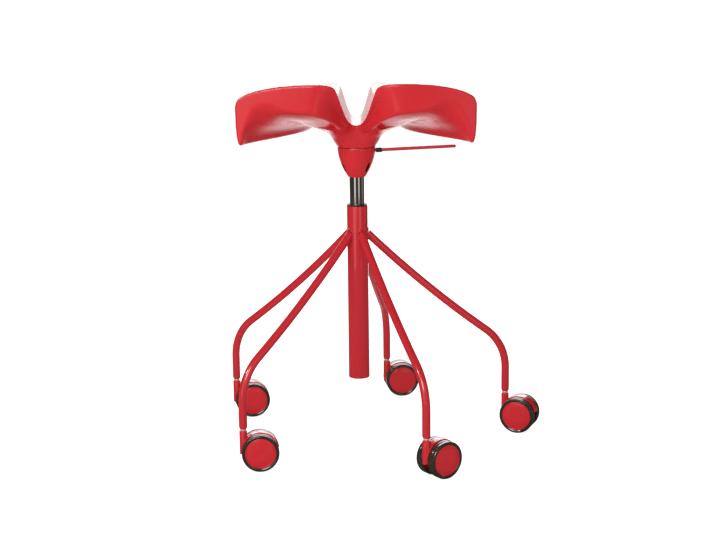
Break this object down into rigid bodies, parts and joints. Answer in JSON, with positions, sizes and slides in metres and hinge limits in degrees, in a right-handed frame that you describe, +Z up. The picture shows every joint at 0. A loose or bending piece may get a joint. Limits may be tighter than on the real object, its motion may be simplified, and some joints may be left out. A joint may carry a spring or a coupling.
{
  "type": "saddle stool",
  "caption": "Saddle stool: a moulded, split saddle seat with a relief channel on a swivelling, height-adjustable column, with a star of bent tube legs on castors.",
  "frame": {"origin": "on the floor, under the middle of the stool's bounding box with the castors as stored; the column's axis stands at x = -47.0 mm, y = -15.5 mm", "axes": "+Z up along the column; +Y the way the sitter faces, from the wide rear of the saddle to its narrow front; +X to the sitter's right, where the height lever points"},
  "size_m": [0.6052, 0.5908, 0.6867],
  "materials": {
    "red_paint": "semi-gloss powder coat",
    "red_moulding": "satin to semi-gloss moulded skin",
    "black_plastic": "fine moulded",
    "tyre_black": "smooth soft tread",
    "chrome_plate": "polished chrome plating",
    "bright_zinc": "bright zinc plate",
    "plain_steel": "plain machined"
  },
  "bodies": {
    "base": {"column_tube": "red_paint", "column_foot_plate": "plain_steel", "guide_bush": "black_plastic", "thrust_bearing": "plain_steel", "leg_1": "red_paint", "leg_2": "red_paint", "leg_3": "red_paint", "leg_4": "red_paint", "leg_5": "red_paint", "castor_1_stem": "bright_zinc", "castor_2_stem": "bright_zinc", "castor_3_stem": "bright_zinc", "castor_4_stem": "bright_zinc", "castor_5_stem": "bright_zinc"},
    "rod": {"piston_rod": "plain_steel", "rod_clip": "plain_steel", "rod_bumper": "black_plastic"},
    "seat": {"gas_cylinder": "chrome_plate", "rod_gland": "black_plastic", "seat_mechanism": "plain_steel", "plate_screw_1": "bright_zinc", "plate_screw_2": "bright_zinc", "plate_screw_3": "bright_zinc", "plate_screw_4": "bright_zinc", "lever_pivot_pin": "plain_steel", "bell_cover": "red_moulding", "saddle": "red_moulding"},
    "lever": {"height_lever": "red_paint", "lever_sleeve": "black_plastic"},
    "release_pin": {"release_pin": "plain_steel"},
    "castor_1": {"castor_1_housing": "red_moulding", "castor_1_axle": "plain_steel"},
    "castor_1_left_roller": {"castor_1_left_wheel": "red_moulding", "castor_1_left_tyre": "tyre_black"},
    "castor_1_right_roller": {"castor_1_right_wheel": "red_moulding", "castor_1_right_tyre": "tyre_black"},
    "castor_2": {"castor_2_housing": "red_moulding", "castor_2_axle": "plain_steel"},
    "castor_2_left_roller": {"castor_2_left_wheel": "red_moulding", "castor_2_left_tyre": "tyre_black"},
    "castor_2_right_roller": {"castor_2_right_wheel": "red_moulding", "castor_2_right_tyre": "tyre_black"},
    "castor_3": {"castor_3_housing": "red_moulding", "castor_3_axle": "plain_steel"},
    "castor_3_left_roller": {"castor_3_left_wheel": "red_moulding", "castor_3_left_tyre": "tyre_black"},
    "castor_3_right_roller": {"castor_3_right_wheel": "red_moulding", "castor_3_right_tyre": "tyre_black"},
    "castor_4": {"castor_4_housing": "red_moulding", "castor_4_axle": "plain_steel"},
    "castor_4_left_roller": {"castor_4_left_wheel": "red_moulding", "castor_4_left_tyre": "tyre_black"},
    "castor_4_right_roller": {"castor_4_right_wheel": "red_moulding", "castor_4_right_tyre": "tyre_black"},
    "castor_5": {"castor_5_housing": "red_moulding", "castor_5_axle": "plain_steel"},
    "castor_5_left_roller": {"castor_5_left_wheel": "red_moulding", "castor_5_left_tyre": "tyre_black"},
    "castor_5_right_roller": {"castor_5_right_wheel": "red_moulding", "castor_5_right_tyre": "tyre_black"}
  },
  "joints": [
    {"name": "seat_swivel", "type": "hinge", "parent": "base", "child": "rod", "pos_m": [-0.047, -0.0155, 0.13], "axis": [0, 0, 1], "continuous": true},
    {"name": "seat_height", "type": "slide", "parent": "rod", "child": "seat", "axis": [0, 0, 1], "range_m": [-0.05, 0.145]},
    {"name": "lever_lift", "type": "hinge", "parent": "seat", "child": "lever", "pos_m": [-0.029, -0.0155, 0.552], "axis": [0, -1, 0], "range_deg": [0, 4.6], "stiffness_Nm_per_rad": 1.2, "springref_deg": -6.88},
    {"name": "release_pin_travel", "type": "slide", "parent": "seat", "child": "release_pin", "axis": [0, 0, 1], "range_m": [-0.0018, 0]},
    {"name": "castor_1_swivel", "type": "hinge", "parent": "base", "child": "castor_1", "pos_m": [0.23554, 0.0152, 0.06], "axis": [0, 0, 1], "continuous": true},
    {"name": "castor_1_left_spin", "type": "hinge", "parent": "castor_1", "child": "castor_1_left_roller", "pos_m": [0.26277, 0.00386, 0.034], "axis": [0.3843, 0.9232, 0], "continuous": true},
    {"name": "castor_1_right_spin", "type": "hinge", "parent": "castor_1", "child": "castor_1_right_roller", "pos_m": [0.26277, 0.00386, 0.034], "axis": [0.3843, 0.9232, 0], "continuous": true},
    {"name": "castor_2_swivel", "type": "hinge", "parent": "base", "child": "castor_2", "pos_m": [0.0695, -0.27472, 0.06], "axis": [0, 0, 1], "continuous": true},
    {"name": "castor_2_left_spin", "type": "hinge", "parent": "castor_2", "child": "castor_2_left_roller", "pos_m": [0.09306, -0.25697, 0.034], "axis": [-0.6018, 0.7986, 0], "continuous": true},
    {"name": "castor_2_right_spin", "type": "hinge", "parent": "castor_2", "child": "castor_2_right_roller", "pos_m": [0.09306, -0.25697, 0.034], "axis": [-0.6018, 0.7986, 0], "continuous": true},
    {"name": "castor_3_swivel", "type": "hinge", "parent": "base", "child": "castor_3", "pos_m": [-0.25754, -0.2064, 0.06], "axis": [0, 0, 1], "continuous": true},
    {"name": "castor_3_left_spin", "type": "hinge", "parent": "castor_3", "child": "castor_3_left_roller", "pos_m": [-0.2282, -0.20332, 0.034], "axis": [-0.1045, 0.9945, 0], "continuous": true},
    {"name": "castor_3_right_spin", "type": "hinge", "parent": "castor_3", "child": "castor_3_right_roller", "pos_m": [-0.2282, -0.20332, 0.034], "axis": [-0.1045, 0.9945, 0], "continuous": true},
    {"name": "castor_4_swivel", "type": "hinge", "parent": "base", "child": "castor_4", "pos_m": [-0.29362, 0.12574, 0.06], "axis": [0, 0, 1], "continuous": true},
    {"name": "castor_4_left_spin", "type": "hinge", "parent": "castor_4", "child": "castor_4_left_roller", "pos_m": [-0.26476, 0.13187, 0.034], "axis": [-0.2079, 0.9781, 0], "continuous": true},
    {"name": "castor_4_right_spin", "type": "hinge", "parent": "castor_4", "child": "castor_4_right_roller", "pos_m": [-0.26476, 0.13187, 0.034], "axis": [-0.2079, 0.9781, 0], "continuous": true},
    {"name": "castor_5_swivel", "type": "hinge", "parent": "base", "child": "castor_5", "pos_m": [0.01112, 0.2627, 0.06], "axis": [0, 0, 1], "continuous": true},
    {"name": "castor_5_left_spin", "type": "hinge", "parent": "castor_5", "child": "castor_5_left_roller", "pos_m": [0.04033, 0.2668, 0.034], "axis": [-0.1392, 0.9903, 0], "continuous": true},
    {"name": "castor_5_right_spin", "type": "hinge", "parent": "castor_5", "child": "castor_5_right_roller", "pos_m": [0.04033, 0.2668, 0.034], "axis": [-0.1392, 0.9903, 0], "continuous": true}
  ],
  "couplings": [
    {"joint": "release_pin_travel", "follows": "lever_lift", "m_per_rad": -0.021}
  ]
}
